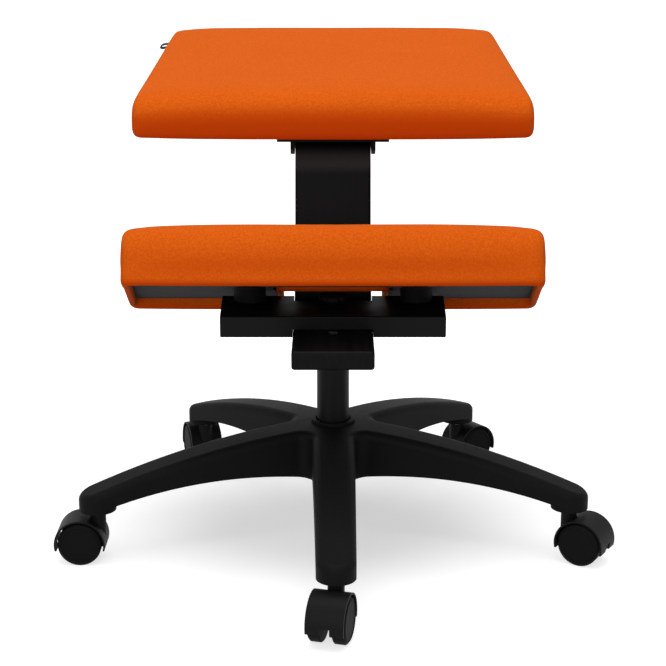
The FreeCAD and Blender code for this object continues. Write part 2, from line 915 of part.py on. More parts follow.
def seat_tag():
    y = seat_front + tag_back
    edge = -seat_half_width(y)
    height = seat_low + tag_height
    outer = tag_form(tag_loop, edge, y, height)
    loop = outer.cut(tag_form(tag_loop - tag_thickness, edge, y, height))
    return on_leg(loop.cut(seat_plan(0, height - tag_reach, height + tag_reach)))


# Knee pad, in a frame at the top of the posts with Y backwards along the pad and Z square to it

def on_pad(shape):
    return moved(shape, vec(0, post_place, bar_top + post_height), ALONG_X, -knee_tilt)


def bar_plan():
    front = bar_front_width / 2
    back = bar_back_width / 2
    return [(-front, bar_front), (front, bar_front), (back, bar_back), (-back, bar_back)]


def knee_crossbar():
    bar = plate(bar_plan(), bar_bottom, bar_top)
    bar = bar.makeFillet(bar_round, bar.Edges)
    bar = bar.cut(block(-notch_side, notch_side, -far, far, 0, bar_under))
    bar = bar.cut(block(-notch_side, notch_side, bridge_back, far, 0, far))
    bend = across_x(foot_bend - arm_thickness / 2 - bend_gap, -far, far, foot_bend_start, foot_bend_height)
    near_bend = block(-notch_side, notch_side, foot_bend_start, far, 0, bar_top)
    bar = bar.cut(near_bend.cut(bend))
    bar = bar.cut(post(clamp_radius + running_fit, 0, far, 0, clamp_place))
    for screw in post_screws_list():
        bar = bar.cut(screw)
    return bar


def glide_strips():
    strips = []
    for side in (-1, 1):
        inner = side * (slot_half_width + part_gap)
        outer = side * glide_half_width
        low, high = sorted((inner, outer))
        strips.append(block(low, high, glide_front, glide_back, foot_top + slide_gap, bar_under))
    return Part.makeCompound(strips)


def spacer_post(side):
    body = post(post_radius, bar_top, bar_top + 2 * post_radius, side * post_side, post_place)
    rim = [edge for edge in body.Edges if middle(edge).z < bar_top + near]
    body = body.makeFillet(post_round, rim)
    above = on_pad(block(-far, far, -far, far, 0, far))
    body = body.cut(above)
    for screw in post_screws_list():
        body = body.cut(screw)
    return body


def post_screws_list():
    screws = []
    for side in (-1, 1):
        x = side * post_side
        neck = bar_bottom + post_screw_head_height
        head = post(post_screw_head, bar_bottom, neck, x, post_place)
        shank = post(post_screw_radius, neck, bar_bottom + post_screw_length, x, post_place)
        screws.append(joined([head, shank]))
    return screws


def knee_half_width(y):
    slope = (knee_back_width - knee_front_width) / (knee_back - knee_front) / 2
    return knee_front_width / 2 + (y - knee_front) * slope


def knee_plan(inset, back_inset, z0, z1):
    front = knee_front + inset
    back = knee_back - back_inset
    front_x = knee_half_width(front) - inset
    back_x = knee_half_width(back) - inset
    return plate([(-front_x, front), (front_x, front), (back_x, back), (-back_x, back)], z0, z1)


def knee_notch(grow):
    """Cutter for the gap round the riser, enlarged by grow."""
    half = notch_half_width + grow
    cutter = block(-half, half, notch_front - grow, far, -far / 2, far / 2)
    corners = [edge for edge in upright_edges(cutter) if middle(edge).y < 0]
    return cutter.makeFillet(notch_round + grow, corners)


def notch_edges(cushion):
    """Edges where the notch's walls meet the cushion's skin, without the notch's own corners."""
    wall = knee_notch(0).Shells[0]
    corner_back = notch_front + notch_round + near
    corners = [edge for edge in upright_edges(cushion) if middle(edge).y < corner_back]
    edges = []
    for edge in cushion.Edges:
        is_corner = any(edge.isSame(corner) for corner in corners)
        on_wall = wall.distToShape(Part.Vertex(middle(edge)))[0] < near
        if on_wall and not is_corner:
            edges.append(edge)
    return edges


def knee_panel(z0, z1):
    panel = knee_plan(knee_rim, knee_back_rim, z0, z1).cut(knee_notch(notch_rim))
    panel = on_pad(panel)
    for screw in post_screws_list():
        panel = panel.cut(screw)
    return panel


def knee_lining_piece():
    return knee_panel(0, knee_lining)


def knee_board_piece():
    return knee_panel(knee_lining, knee_lining + knee_board)


def knee_cushion():
    form = cushion_form(knee_front, knee_back, knee_back_width / 2, knee_side_height, knee_crown,
                        knee_front_roll, knee_back_roll)
    cushion = form.common(knee_plan(0, 0, 0, 2 * knee_side_height))
    cushion = rounded_sides(cushion, knee_edge_round)
    cushion = cushion.cut(knee_notch(0))
    cushion = cushion.makeFillet(notch_edge_round, notch_edges(cushion))
    cushion = moved(cushion, vec(0, 0, -knee_lip))
    recess = knee_plan(knee_rim, knee_back_rim, -far, knee_lining + knee_board).cut(knee_notch(notch_rim))
    half = notch_half_width + notch_rim
    below = block(-half, half, notch_front - notch_rim, knee_back - knee_back_rim, -far, -notch_lip)
    return on_pad(cushion.cut(recess).cut(below))


# Clamp of the knee pad

def clamp_knob():
    low = bar_top + slide_gap
    neck_top = low + knob_neck_height
    screw = post(clamp_radius, foot_bottom + part_gap, low, 0, clamp_place)
    neck = Part.makeCone(knob_neck, knob_shoulder, knob_neck_height, vec(0, clamp_place, low))
    head = post(knob_radius, neck_top, neck_top + knob_height, 0, clamp_place)
    for number in range(knob_lobes):
        angle = math.radians(number * 360.0 / knob_lobes)
        reach = knob_radius + knob_lobe_radius / 2
        x = reach * math.cos(angle)
        y = clamp_place + reach * math.sin(angle)
        head = head.cut(post(knob_lobe_radius, neck_top, neck_top + knob_height, x, y))
    return joined([screw, neck, head])


def clamp_nut():
    body = block(-nut_half_width, nut_half_width, clamp_place - nut_half_length,
                 clamp_place + nut_half_length, nut_top - nut_height, nut_top)
    return body.cut(post(clamp_radius + running_fit, 0, far, 0, clamp_place))


save_castors()
save("five_star_base", five_star_base())
save("stem_sockets", stem_sockets())
save("hub_collar", hub_collar())
save("stand_tube", stand_tube())
save("guide_bush", guide_bush())
save("thrust_bearing", thrust_bearing())
save("piston_rod", piston_rod())
save("rod_clip", rod_clip())
save("piston", piston())
save("pressure_tube", pressure_tube())
save("release_pin", release_pin())
save("laminated_arm", laminated_arm())
save("column_head", column_head())
save("head_bolts", head_bolts())
save("release_lever", release_lever())
save("lever_grip", lever_grip())
save("seat_bracket", seat_bracket())
save("bracket_screws", bracket_screws())
save("seat_spacer", seat_spacer())
save("seat_screws", seat_screws())
save("seat_board", seat_board_piece())
save("seat_lining", seat_lining_piece())
save("seat_cushion", seat_cushion())
save("seat_tag", seat_tag())
save("knee_crossbar", knee_crossbar())
save("glide_strips", glide_strips())
save("spacer_post_left", spacer_post(-1))
save("spacer_post_right", spacer_post(1))
save("post_screws", Part.makeCompound(post_screws_list()))
save("knee_lining", knee_lining_piece())
save("knee_board", knee_board_piece())
save("knee_cushion", knee_cushion())
save("clamp_knob", clamp_knob())
save("clamp_nut", clamp_nut())
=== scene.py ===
"""Looks of a kneeling chair: its finishes, cushions, linings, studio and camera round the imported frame."""

import logging
import math
from dataclasses import dataclass
from enum import Enum
from typing import Any, Sequence, Union

import bmesh
import bpy
import numpy as np
from mathutils import Matrix, Vector
from mathutils.bvhtree import BVHTree


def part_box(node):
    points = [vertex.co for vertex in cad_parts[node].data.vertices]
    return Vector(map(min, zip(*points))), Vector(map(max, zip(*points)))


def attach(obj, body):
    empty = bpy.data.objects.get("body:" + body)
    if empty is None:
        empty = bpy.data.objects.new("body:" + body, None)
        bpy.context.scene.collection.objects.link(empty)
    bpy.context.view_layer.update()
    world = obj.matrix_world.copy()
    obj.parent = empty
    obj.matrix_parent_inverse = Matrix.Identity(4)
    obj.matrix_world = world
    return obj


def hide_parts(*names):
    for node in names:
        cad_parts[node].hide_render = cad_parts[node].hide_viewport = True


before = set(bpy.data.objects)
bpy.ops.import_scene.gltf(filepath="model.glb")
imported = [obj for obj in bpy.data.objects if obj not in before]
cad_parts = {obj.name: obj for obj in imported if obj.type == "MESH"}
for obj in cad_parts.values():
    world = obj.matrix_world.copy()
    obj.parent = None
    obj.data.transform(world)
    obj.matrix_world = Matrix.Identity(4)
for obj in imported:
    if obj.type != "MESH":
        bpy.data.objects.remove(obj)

LOG = logging.getLogger("kneeling_chair")
Number = Union[int, float]
Pair = tuple[float, float]
Triple = tuple[float, float, float]
Colour = tuple[float, float, float]


class Value:
    """A socket of a finish's nodes that takes part in arithmetic on single numbers."""

    def __init__(self, nodes: "Nodes", socket: bpy.types.NodeSocket) -> None:
        """Wraps one output socket."""
        self.nodes = nodes
        self.socket = socket

    def _with(self, operation: str, first: "Operand", second: "Operand" = 0.0) -> "Value":
        """Adds one Math node.

        Args:
            operation: The Math node's operation.
            first: Its first operand.
            second: Its second operand.

        Returns:
            The node's result.
        """
        node = self.nodes.node("ShaderNodeMath", {"operation": operation}, {0: first, 1: second})
        return Value(self.nodes, node.outputs[0])

    def __add__(self, other: "Operand") -> "Value":
        """Sum."""
        return self._with("ADD", self, other)

    def __radd__(self, other: "Operand") -> "Value":
        """Sum with the number in front."""
        return self._with("ADD", other, self)

    def __sub__(self, other: "Operand") -> "Value":
        """Difference."""
        return self._with("SUBTRACT", self, other)

    def __rsub__(self, other: "Operand") -> "Value":
        """Difference with the number in front."""
        return self._with("SUBTRACT", other, self)

    def __mul__(self, other: "Operand") -> "Value":
        """Product."""
        return self._with("MULTIPLY", self, other)

    def __rmul__(self, other: "Operand") -> "Value":
        """Product with the number in front."""
        return self._with("MULTIPLY", other, self)

    def __truediv__(self, other: "Operand") -> "Value":
        """Quotient."""
        return self._with("DIVIDE", self, other)

    def __rtruediv__(self, other: "Operand") -> "Value":
        """Quotient with the number in front."""
        return self._with("DIVIDE", other, self)

    def __gt__(self, other: "Operand") -> "Value":
        """1 where this value is the greater, else 0."""
        return self._with("GREATER_THAN", self, other)

    def __abs__(self) -> "Value":
        """Size without sign."""
        return self._with("ABSOLUTE", self)

    def wave(self) -> "Value":
        """Sine of the value in radians."""
        return self._with("SINE", self)

    def root(self) -> "Value":
        """Square root."""
        return self._with("SQRT", self)

    def ease(self, low: Number, high: Number) -> "Value":
        """Smooth step.

        Args:
            low: Where the result starts to leave 0.
            high: Where it reaches 1.

        Returns:
            A value from 0 to 1.
        """
        settings = {"interpolation_type": "SMOOTHSTEP"}
        node = self.nodes.node("ShaderNodeMapRange", settings, {0: self, 1: low, 2: high})
        return Value(self.nodes, node.outputs[0])

    def choose(self, other: "Operand", mask: "Value") -> "Value":
        """This value where mask is 0, and the other where it is 1."""
        return self * (1 - mask) + other * mask


Operand = Union[Value, Number]


class Nodes:
    """A node tree that is filled node by node."""

    def __init__(self, tree: bpy.types.NodeTree) -> None:
        """Starts with the tree emptied."""
        self.tree = tree
        self.tree.nodes.clear()

    def node(self, kind: str, settings: dict[str, Any] | None = None,
             inputs: dict[Any, Any] | None = None) -> bpy.types.Node:
        """Adds any node.

        Args:
            kind: The node's type.
            settings: Its own settings, or a ramp's stops under "stops".
            inputs: Values or links of its sockets, by name or place.

        Returns:
            The node.
        """
        made = self.tree.nodes.new(kind)
        for name, setting in (settings or {}).items():
            if name == "stops":
                self._fill_ramp(made.color_ramp, setting)
            else:
                setattr(made, name, setting)
        for name, value in (inputs or {}).items():
            self.feed(made.inputs[name], value)
        return made

    def feed(self, socket: bpy.types.NodeSocket, value: Any) -> None:
        """Links a socket, or sets its constant.

        Args:
            socket: The input socket.
            value: A Value, an output socket or a constant.
        """
        if isinstance(value, Value):
            value = value.socket
        if isinstance(value, bpy.types.NodeSocket):
            self.tree.links.new(value, socket)
        elif isinstance(value, tuple) and len(value) == 3 and socket.type == "RGBA":
            socket.default_value = (*value, 1.0)
        else:
            socket.default_value = value

    @staticmethod
    def _fill_ramp(ramp: bpy.types.ColorRamp, stops: Sequence[tuple[float, Colour]]) -> None:
        """Sets a ramp's stops.

        Args:
            ramp: The ramp.
            stops: Place and colour of each stop, from the lowest place up.
        """
        while len(ramp.elements) < len(stops):
            ramp.elements.new(1.0)
        for element, (place, colour) in zip(ramp.elements, stops):
            element.position = place
            element.color = (*colour, 1.0)


class Bench(Nodes):
    """The material of one finish and the nodes that it is made of."""

    def __init__(self, name: str) -> None:
        """Starts a material with its output and its main shader.

        Args:
            name: The material's name.
        """
        self.material = bpy.data.materials.new(name)
        self.material.use_nodes = True
        super().__init__(self.material.node_tree)
        self.shader = self.node("ShaderNodeBsdfPrincipled")
        self.node("ShaderNodeOutputMaterial", {}, {"Surface": self.shader.outputs[0]})

    def metres(self) -> bpy.types.NodeSocket:
        """The point on the resting object, in metres, as a vector."""
        return self.node("ShaderNodeTexCoord").outputs["Object"]

    def place(self) -> tuple[Value, Value, Value]:
        """The point on the resting object, in metres, as three values."""
        return self._split(self.metres())

    def facing_up(self) -> Value:
        """How far the resting surface faces up, from -1 to 1."""
        return self._split(self.node("ShaderNodeTexCoord").outputs["Normal"])[2]

    def _split(self, vector: bpy.types.NodeSocket) -> tuple[Value, Value, Value]:
        """Takes a vector apart.

        Args:
            vector: The vector's socket.

        Returns:
            Its three values.
        """
        split = self.node("ShaderNodeSeparateXYZ", {}, {0: vector})
        x, y, z = (Value(self, socket) for socket in split.outputs)
        return x, y, z

    def noise(self, scale: float, detail: float = 3.0, rough: float = 0.55,
              along: bpy.types.NodeSocket | None = None) -> Value:
        """Cloudy noise.

        Args:
            scale: Lumps per unit of the coordinate.
            detail: Number of finer layers.
            rough: Weight of the finer layers.
            along: The coordinate, or None for the object's own metres.

        Returns:
            A value round 0.5.
        """
        vector = self.metres() if along is None else along
        inputs = {"Vector": vector, "Scale": scale, "Detail": detail, "Roughness": rough}
        return Value(self, self.node("ShaderNodeTexNoise", {}, inputs).outputs[0])

    def streaks(self, parts: Sequence[Value], scales: Triple, detail: float, rough: float) -> Value:
        """Noise whose lumps are drawn out.

        Args:
            parts: The coordinate's three values.
            scales: Lumps per unit of each value.
            detail: Number of finer layers.
            rough: Weight of the finer layers.

        Returns:
            A value round 0.5.
        """
        scaled = [part * scale for part, scale in zip(parts, scales)]
        vector = self.node("ShaderNodeCombineXYZ", {}, dict(enumerate(scaled))).outputs[0]
        return self.noise(1.0, detail, rough, vector)

    def cells(self, scale: float) -> Value:
        """Distance to the nearest of many scattered points, for a moulded grain."""
        inputs = {"Vector": self.metres(), "Scale": scale}
        return Value(self, self.node("ShaderNodeTexVoronoi", {}, inputs).outputs[0])

    def ramp(self, value: Value, stops: Sequence[tuple[float, Colour]]) -> bpy.types.NodeSocket:
        """Colours picked by a value along the given stops."""
        return self.node("ShaderNodeValToRGB", {"stops": stops}, {0: value}).outputs[0]

    def blend(self, first: Any, second: Any, share: Operand) -> bpy.types.NodeSocket:
        """Mixes two colours.

        Args:
            first: Colour where share is 0.
            second: Colour where share is 1.
            share: The mixing share.

        Returns:
            The mixed colour's socket.
        """
        inputs = {0: share, 6: first, 7: second}
        return self.node("ShaderNodeMix", {"data_type": "RGBA"}, inputs).outputs[2]

    def relief(self, height: Value, strength: float, depth: float) -> bpy.types.NodeSocket:
        """Bump of a height field.

        Args:
            height: The field, about 0 to 1.
            strength: Share of the full effect.
            depth: Metres that a height of 1 stands for.

        Returns:
            The normal's socket.
        """
        inputs = {"Strength": strength, "Distance": depth, "Height": height}
        return self.node("ShaderNodeBump", {}, inputs).outputs[0]

    def surface(self, **inputs: Any) -> bpy.types.Material:
        """Feeds the main shader's sockets, named with _ for spaces.

        Args:
            inputs: Values, links or constants.

        Returns:
            The finished material.
        """
        for name, value in inputs.items():
            self.feed(self.shader.inputs[name.replace("_", " ")], value)
        return self.material


@dataclass(frozen=True)
class WoolCloth:
    """Felted wool cover: fine yarn, small flecks, and painted shade: a deeper, redder colour where it faces
    down.

    Yarns, drifts, flecks, clouds and fuzz are counted per metre.
    """

    name: str
    # painted shade: the darker, redder colour given to the cloth where it faces down
    shade_deep: Colour
    dark: Colour
    middle: Colour
    light: Colour
    yarns: float = 780.0
    yarn_drift: float = 0.0006
    warp_drifts: float = 160.0
    weft_drifts: float = 150.0
    flecks: float = 430.0
    clouds: float = 14.0
    fuzz: float = 1800.0
    weave_depth: float = 0.0005
    pile_tint: Colour = (1.0, 0.62, 0.16)

    def material(self) -> bpy.types.Material:
        """Builds the finish.

        Returns:
            Its material.
        """
        bench = Bench(self.name)
        x, y, z = bench.place()
        turns = self.yarns * math.tau
        warp = ((x + self.yarn_drift * bench.noise(self.warp_drifts)) * turns).wave()
        weft = ((y + z + self.yarn_drift * bench.noise(self.weft_drifts)) * turns).wave()
        fleck = bench.noise(self.flecks, 3.0, 0.65)
        cloud = bench.noise(self.clouds, 2.0, 0.5)
        fuzz = bench.noise(self.fuzz, 2.0, 0.6)
        tone = (fleck * 0.9 + cloud * 0.1).ease(0.25, 0.75)
        colour = bench.ramp(tone, [(0.0, self.dark), (0.5, self.middle), (1.0, self.light)])
        # painted shade: the colour turns to the painted shade colour where the surface faces down
        colour = bench.blend(self.shade_deep, colour, bench.facing_up().ease(-0.25, 0.6))
        weave = warp * weft * 0.25 + fuzz * 0.4 + fleck * 0.4
        return bench.surface(
            Base_Color=colour, Roughness=0.88 + 0.08 * fleck, Specular_IOR_Level=0.05,
            Sheen_Weight=0.07, Sheen_Roughness=0.5, Sheen_Tint=self.pile_tint,
            Normal=bench.relief(weave, 0.22, self.weave_depth))


@dataclass(frozen=True)
class NeedleFelt:
    """Matted lining cloth under the boards, with its fibres and patches counted per metre."""

    name: str
    dark: Colour
    light: Colour
    fibres: float = 340.0
    patches: float = 18.0
    depth: float = 0.0008

    def material(self) -> bpy.types.Material:
        """Builds the finish.

        Returns:
            Its material.
        """
        bench = Bench(self.name)
        matted = bench.noise(self.fibres, 5.0, 0.7)
        patch = bench.noise(self.patches, 3.0, 0.5)
        tone = (matted * 0.65 + patch * 0.35).ease(0.3, 0.7)
        return bench.surface(
            Base_Color=bench.blend(self.dark, self.light, tone), Roughness=0.9 + 0.08 * matted,
            Sheen_Weight=0.06, Sheen_Roughness=0.6, Specular_IOR_Level=0.08,
            Normal=bench.relief(matted, 0.4, self.depth))


@dataclass(frozen=True)
class WovenTape:
    """Narrow ribbed tape of the little tab, with its ribs and threads counted per metre."""

    name: str
    dark: Colour
    light: Colour
    ribs: float = 1400.0
    threads: float = 2600.0
    depth: float = 0.0003

    def material(self) -> bpy.types.Material:
        """Builds the finish.

        Returns:
            Its material.
        """
        bench = Bench(self.name)
        along = bench.place()[1]
        rib = (along * (self.ribs * math.tau)).wave() * 0.5 + 0.5
        thread = bench.noise(self.threads, 2.0)
        tone = rib * 0.6 + thread * 0.4
        return bench.surface(
            Base_Color=bench.blend(self.dark, self.light, tone), Roughness=0.75 + 0.15 * thread,
            Sheen_Weight=0.15, Normal=bench.relief(tone, 0.5, self.depth))


@dataclass(frozen=True)
class ArmLine:
    """Centre line of the bent arm in the YZ plane, in metres."""

    foot_height: float = 0.2665
    bend_start: float = -0.06698
    bend_radius: float = 0.119
    riser_angle: float = math.radians(74.8)
    top_corner: Pair = (0.07434, 0.45178)
    top_radius: float = 0.040
    seat_angle: float = math.radians(8.0)

    def across(self, y: Value, z: Value) -> Value:
        """Distance from the centre line, positive on the arm's upper side.

        Args:
            y: The point's Y.
            z: The point's Z.

        Returns:
            The signed distance in metres.
        """
        lean = (math.cos(self.riser_angle), math.sin(self.riser_angle))
        seat = (math.cos(self.seat_angle), math.sin(self.seat_angle))
        low = (self.bend_start, self.foot_height + self.bend_radius)
        reach = self.top_radius * math.tan((self.riser_angle - self.seat_angle) / 2)
        entry = (self.top_corner[0] - reach * lean[0], self.top_corner[1] - reach * lean[1])
        high = (entry[0] + self.top_radius * lean[1], entry[1] - self.top_radius * lean[0])
        foot = z - self.foot_height
        bend = self.bend_radius - self._reach(y, z, low)
        riser = self._beside(y, z, self.top_corner, lean)
        turn = self._reach(y, z, high) - self.top_radius
        leg = self._beside(y, z, self.top_corner, seat)
        offset = foot.choose(bend, y > low[0])
        offset = offset.choose(riser, self._along(y, z, low, lean) > 0)
        offset = offset.choose(turn, self._along(y, z, high, lean) > 0)
        return offset.choose(leg, (self._along(y, z, high, seat) > 0) * (z > high[1]))

    @staticmethod
    def _reach(y: Value, z: Value, centre: Pair) -> Value:
        """Distance from a bend's centre."""
        dy, dz = y - centre[0], z - centre[1]
        return (dy * dy + dz * dz).root()

    @staticmethod
    def _along(y: Value, z: Value, start: Pair, way: Pair) -> Value:
        """Distance along a heading from a start point."""
        return (y - start[0]) * way[0] + (z - start[1]) * way[1]

    @staticmethod
    def _beside(y: Value, z: Value, start: Pair, way: Pair) -> Value:
        """Distance to the left of a heading through a start point."""
        return (z - start[1]) * way[0] - (y - start[0]) * way[1]


@dataclass(frozen=True)
class StainedPly:
    """Black-stained bent plywood: long grain on its faces, plies at its edges, and a painted highlight
    across the upper bend.

    Grain and pores are counted per metre across the strip, along it and through it.
    """

    name: str
    dark: Colour
    light: Colour
    # painted highlight: the lighter colour laid across the upper bend, where the bend would catch light
    painted_highlight: Colour = (0.034, 0.033, 0.032)
    grain: Triple = (260.0, 9.0, 60.0)
    pores: Triple = (900.0, 40.0, 300.0)
    depth: float = 0.0004
    ply: float = 0.00175
    half_width: float = 0.0445
    edge_start: float = 0.004
    edge_end: float = 0.001
    bend_middle: float = 0.441
    bend_reach: float = 0.018
    line: ArmLine = ArmLine()

    def material(self) -> bpy.types.Material:
        """Builds the finish.

        Returns:
            Its material.
        """
        bench = Bench(self.name)
        x, y, z = bench.place()
        through = self.line.across(y, z)
        strip = (x, y + z, through)
        streak = bench.streaks(strip, self.grain, 4.0, 0.6)
        pore = bench.streaks(strip, self.pores, 2.0, 0.7)
        edge = abs(x).ease(self.half_width - self.edge_start, self.half_width - self.edge_end)
        layer = (through / self.ply * math.tau).wave() * 0.5 + 0.5
        face = streak.ease(0.32, 0.72) * 0.75 + pore.ease(0.55, 0.75) * 0.25
        tone = face.choose(layer, edge * 0.6)
        # painted highlight: a lighter band across the upper bend, strongest at bend_middle and gone at
        # bend_reach
        highlight_share = (abs(z - self.bend_middle) / self.bend_reach).ease(1.0, 0.1)
        height = (streak * 0.5 + pore * 0.5).choose(layer, edge)
        colour = bench.blend(bench.blend(self.dark, self.light, tone), self.painted_highlight, highlight_share)
        return bench.surface(
            Base_Color=colour, Roughness=0.36 + 0.2 * streak + 0.16 * edge, Specular_IOR_Level=0.06,
            Coat_Weight=0.02 * streak, Coat_Roughness=0.3,
            Normal=bench.relief(height, 0.25, self.depth))


@dataclass(frozen=True)
class LacqueredBoard:
    """Satin black lacquer over a dense board, with brush marks and rubbed patches counted per metre."""

    name: str
    dark: Colour
    light: Colour
    brush_marks: Triple = (14.0, 380.0, 380.0)
    rubs: float = 30.0
    depth: float = 0.0003

    def material(self) -> bpy.types.Material:
        """Builds the finish.

        Returns:
            Its material.
        """
        bench = Bench(self.name)
        brush = bench.streaks(bench.place(), self.brush_marks, 3.0, 0.6)
        rub = bench.noise(self.rubs, 4.0, 0.6).ease(0.45, 0.75)
        tone = brush * 0.6 + rub * 0.4
        return bench.surface(
            Base_Color=bench.blend(self.dark, self.light, tone), Roughness=0.42 + 0.22 * tone,
            Specular_IOR_Level=0.08, Normal=bench.relief(brush, 0.18, self.depth))


@dataclass(frozen=True)
class MouldedPlastic:
    """Injection-moulded plastic with a spark-eroded grain, flow marks and scuffs, counted per metre."""

    name: str
    dark: Colour
    light: Colour
    grain: float = 950.0
    rough: float = 0.56
    depth: float = 0.00025
    shine: float = 0.04
    flows: float = 9.0
    scuffs: float = 70.0

    def material(self) -> bpy.types.Material:
        """Builds the finish.

        Returns:
            Its material.
        """
        bench = Bench(self.name)
        pebble = bench.cells(self.grain)
        fine = bench.noise(self.grain * 2.2, 2.0, 0.6)
        flow = bench.noise(self.flows, 3.0, 0.5)
        scuff = bench.noise(self.scuffs, 5.0, 0.7).ease(0.55, 0.8)
        tone = flow * 0.5 + scuff * 0.35 + fine * 0.15
        return bench.surface(
            Base_Color=bench.blend(self.dark, self.light, tone),
            Roughness=self.rough - 0.06 + 0.1 * flow + 0.12 * scuff, Specular_IOR_Level=self.shine,
            Normal=bench.relief(pebble * 0.7 + fine * 0.3, 0.3, self.depth))


@dataclass(frozen=True)
class PowderCoat:
    """Satin powder coat with a slight orange-peel surface and haze, counted per metre."""

    name: str
    dark: Colour
    light: Colour
    rough: float = 0.38
    peels: float = 520.0
    hazes: float = 24.0
    depth: float = 0.0004

    def material(self) -> bpy.types.Material:
        """Builds the finish.

        Returns:
            Its material.
        """
        bench = Bench(self.name)
        peel = bench.noise(self.peels, 2.0, 0.5)
        haze = bench.noise(self.hazes, 3.0, 0.6)
        return bench.surface(
            Base_Color=bench.blend(self.dark, self.light, haze), Roughness=self.rough + 0.14 * haze,
            Specular_IOR_Level=0.08, Coat_Weight=0.01 * haze, Coat_Roughness=0.25,
            Normal=bench.relief(peel, 0.2, self.depth))


@dataclass(frozen=True)
class ZincSteel:
    """Zinc-plated steel with fine level tool marks and a bloom, counted per metre."""

    name: str
    dark: Colour
    light: Colour
    tool_marks: Triple = (40.0, 40.0, 2400.0)
    blooms: float = 60.0
    depth: float = 0.0002

    def material(self) -> bpy.types.Material:
        """Builds the finish.

        Returns:
            Its material.
        """
        bench = Bench(self.name)
        mark = bench.streaks(bench.place(), self.tool_marks, 3.0, 0.6)
        bloom = bench.noise(self.blooms, 3.0, 0.6)
        return bench.surface(
            Base_Color=bench.blend(self.dark, self.light, bloom), Metallic=0.92 + 0.08 * bloom,
            Roughness=0.26 + 0.16 * mark + 0.08 * bloom, Normal=bench.relief(mark, 0.15, self.depth))


@dataclass(frozen=True)
class RawPly:
    """Unfinished plywood of the boards inside the cushions, with its rings counted per metre."""

    name: str
    dark: Colour
    light: Colour
    rings: Triple = (6.0, 90.0, 90.0)
    depth: float = 0.0004

    def material(self) -> bpy.types.Material:
        """Builds the finish.

        Returns:
            Its material.
        """
        bench = Bench(self.name)
        ring = bench.streaks(bench.place(), self.rings, 4.0, 0.6)
        return bench.surface(
            Base_Color=bench.blend(self.dark, self.light, ring.ease(0.3, 0.7)),
            Roughness=0.7 + 0.15 * ring, Normal=bench.relief(ring, 0.2, self.depth))


class Finish(Enum):
    """Every finish of the chair, each named as its material slot in the record."""

    # the first colour is painted shade, used where the cloth faces down
    WOOL = WoolCloth("orange_wool", shade_deep=(0.53, 0.051, 0.0008), dark=(0.545, 0.076, 0.0026),
                     middle=(0.622, 0.095, 0.0039), light=(0.700, 0.116, 0.0056))
    FELT = NeedleFelt("grey_lining", (0.0085, 0.0080, 0.0082), (0.0190, 0.0180, 0.0184))
    TAPE = WovenTape("black_tape", (0.004, 0.004, 0.004), (0.014, 0.014, 0.014))
    ARM = StainedPly("black_wood", (0.0010, 0.0010, 0.0009), (0.0036, 0.0034, 0.0032))
    BOARD = LacqueredBoard("black_board", (0.0016, 0.0016, 0.0016), (0.0044, 0.0044, 0.0044))
    MOULDED = MouldedPlastic("moulded_black", (0.0042, 0.0042, 0.0043), (0.0108, 0.0108, 0.0110))
    HOOD = MouldedPlastic("castor_black", (0.004, 0.004, 0.0041), (0.010, 0.010, 0.0102),
                          grain=600.0, rough=0.5, depth=0.00008, shine=0.07)
    WHEEL = MouldedPlastic("wheel_black", (0.0040, 0.0040, 0.0042), (0.010, 0.010, 0.0102),
                           grain=480.0, rough=0.58, depth=0.0001)
    NYLON = MouldedPlastic("white_plastic", (0.62, 0.62, 0.58), (0.78, 0.78, 0.74),
                           grain=700.0, rough=0.42, depth=0.0001, shine=0.5)
    PAINT = PowderCoat("black_paint", (0.0016, 0.0016, 0.0017), (0.0046, 0.0046, 0.0048))
    STEEL = ZincSteel("steel", (0.42, 0.42, 0.43), (0.60, 0.60, 0.61))
    PLY = RawPly("plywood", (0.50, 0.34, 0.18), (0.72, 0.56, 0.36))


class PaintShop:
    """Keeps one material for each finish and puts it on pieces."""

    def __init__(self) -> None:
        """Starts with no material made."""
        self._made: dict[Finish, bpy.types.Material] = {}

    def coat(self, piece: bpy.types.Object, finish: Finish) -> None:
        """Gives a piece one finish.

        Args:
            piece: The piece.
            finish: Its finish.
        """
        if finish not in self._made:
            self._made[finish] = finish.value.material()
        piece.data.materials.clear()
        piece.data.materials.append(self._made[finish])

    def coat_nodes(self, coats: dict[str, Finish]) -> None:
        """Gives CAD nodes their finishes.

        Args:
            coats: Finish of each node, by the node's name.
        """
        for node, finish in coats.items():
            self.coat(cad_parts[node], finish)
            LOG.info("coated %s with %s", node, finish.name.lower())


def new_piece(name: str, mesh: bpy.types.Mesh) -> bpy.types.Object:
    """Puts a mesh into the scene as a piece.

    Args:
        name: The piece's name.
        mesh: Its mesh.

    Returns:
        The new object.
    """
    piece = bpy.data.objects.new(name, mesh)
    bpy.context.scene.collection.objects.link(piece)
    return piece


def mesh_of(name: str, sheet: bmesh.types.BMesh) -> bpy.types.Mesh:
    """Turns a finished bmesh into a mesh, and frees it.

    Args:
        name: The mesh's name.
        sheet: The bmesh.

    Returns:
        The mesh.
    """
    mesh = bpy.data.meshes.new(name)
    sheet.to_mesh(mesh)
    sheet.free()
    return mesh


def shade_smooth(mesh: bpy.types.Mesh) -> None:
    """Shades every face of a mesh smooth."""
    mesh.polygons.foreach_set("use_smooth", [True] * len(mesh.polygons))
    mesh.update()


def tilted(y: float, z: float, degrees: float) -> Matrix:
    """Frame at a point of the YZ plane, turned about X."""
    return Matrix.Translation((0.0, y, z)) @ Matrix.Rotation(math.radians(degrees), 4, "X")


